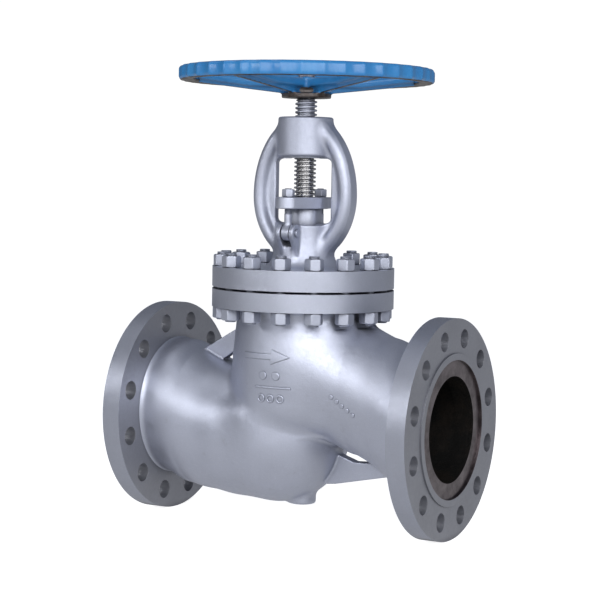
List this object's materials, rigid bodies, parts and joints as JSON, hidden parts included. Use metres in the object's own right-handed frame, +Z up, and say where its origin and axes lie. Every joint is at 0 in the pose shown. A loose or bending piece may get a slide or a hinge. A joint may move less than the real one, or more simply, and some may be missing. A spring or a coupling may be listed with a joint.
{
  "type": "globe valve",
  "caption": "Flanged globe valve with a bolted bonnet and oval yoke; the handwheel turns a rising threaded stem that lifts the disc off its seat",
  "frame": {"origin": "where the pipe axis meets the stem axis", "axes": "+X along the pipe from the inlet to the outlet, +Z up the stem to the handwheel, -Y towards the side with the flow arrow"},
  "size_m": [0.65, 0.49, 0.8815],
  "materials": {
    "silver_paint": "aluminium paint over a sand-cast or machined surface",
    "blue_paint": "glossy blue enamel over a casting",
    "bare_steel": "turned and oiled",
    "stainless": "ground",
    "bronze": "turned",
    "graphite": "pressed graphite"
  },
  "bodies": {
    "valve_body": {"body": "silver_paint", "bonnet": "silver_paint", "gland_eyebolt_front": "silver_paint", "gland_eyebolt_back": "silver_paint", "eyebolt_pin_front": "silver_paint", "eyebolt_pin_back": "silver_paint", "bonnet_stud_01": "silver_paint", "bonnet_stud_02": "silver_paint", "bonnet_stud_03": "silver_paint", "bonnet_stud_04": "silver_paint", "bonnet_stud_05": "silver_paint", "bonnet_stud_06": "silver_paint", "bonnet_stud_07": "silver_paint", "bonnet_stud_08": "silver_paint", "bonnet_stud_09": "silver_paint", "bonnet_stud_10": "silver_paint", "bonnet_stud_11": "silver_paint", "bonnet_stud_12": "silver_paint", "bonnet_stud_13": "silver_paint", "bonnet_stud_14": "silver_paint", "bonnet_stud_15": "silver_paint", "bonnet_stud_16": "silver_paint", "bonnet_nut_01": "silver_paint", "bonnet_nut_02": "silver_paint", "bonnet_nut_03": "silver_paint", "bonnet_nut_04": "silver_paint", "bonnet_nut_05": "silver_paint", "bonnet_nut_06": "silver_paint", "bonnet_nut_07": "silver_paint", "bonnet_nut_08": "silver_paint", "bonnet_nut_09": "silver_paint", "bonnet_nut_10": "silver_paint", "bonnet_nut_11": "silver_paint", "bonnet_nut_12": "silver_paint", "bonnet_nut_13": "silver_paint", "bonnet_nut_14": "silver_paint", "bonnet_nut_15": "silver_paint", "bonnet_nut_16": "silver_paint", "body_seat_ring": "stainless", "backseat_bush": "stainless", "packing_base_ring": "bare_steel", "yoke_nut_set_screw": "bare_steel", "bonnet_gasket": "graphite", "packing_ring_1": "graphite", "packing_ring_2": "graphite", "packing_ring_3": "graphite", "packing_ring_4": "graphite", "packing_ring_5": "graphite", "yoke_nut": "bronze"},
    "disc": {"disc": "stainless", "disc_nut": "stainless", "disc_nut_lock_pin": "stainless"},
    "stem_and_wheel": {"stem": "bare_steel", "handwheel": "blue_paint", "wheel_washer": "bare_steel", "wheel_nut": "bare_steel"},
    "gland": {"gland_flange": "silver_paint", "gland_follower": "silver_paint"},
    "gland_nut_front": {"gland_nut_front": "silver_paint"},
    "gland_nut_back": {"gland_nut_back": "silver_paint"}
  },
  "joints": [
    {"name": "disc_lift", "type": "slide", "parent": "valve_body", "child": "disc", "axis": [0, 0, 1], "range_m": [0, 0.0501]},
    {"name": "handwheel_turn", "type": "hinge", "parent": "disc", "child": "stem_and_wheel", "pos_m": [0, 0, 0.6], "axis": [0, 0, 1], "range_deg": [0, 2250]},
    {"name": "gland_slide", "type": "slide", "parent": "valve_body", "child": "gland", "axis": [0, 0, 1], "range_m": [-0.004, 0], "deforming": ["packing_ring_5"]},
    {"name": "gland_nut_front_turn", "type": "hinge", "parent": "gland", "child": "gland_nut_front", "pos_m": [0, -0.064, 0.43], "axis": [0, 0, 1], "range_deg": [-721, 0]},
    {"name": "gland_nut_back_turn", "type": "hinge", "parent": "gland", "child": "gland_nut_back", "pos_m": [0, 0.064, 0.43], "axis": [0, 0, 1], "range_deg": [-721, 0]}
  ],
  "couplings": [
    {"joint": "disc_lift", "follows": "handwheel_turn", "m_per_rad": 0.0012732},
    {"joint": "gland_nut_front_turn", "follows": "gland_slide", "rad_per_m": 3141.6},
    {"joint": "gland_nut_back_turn", "follows": "gland_slide", "rad_per_m": 3141.6}
  ]
}
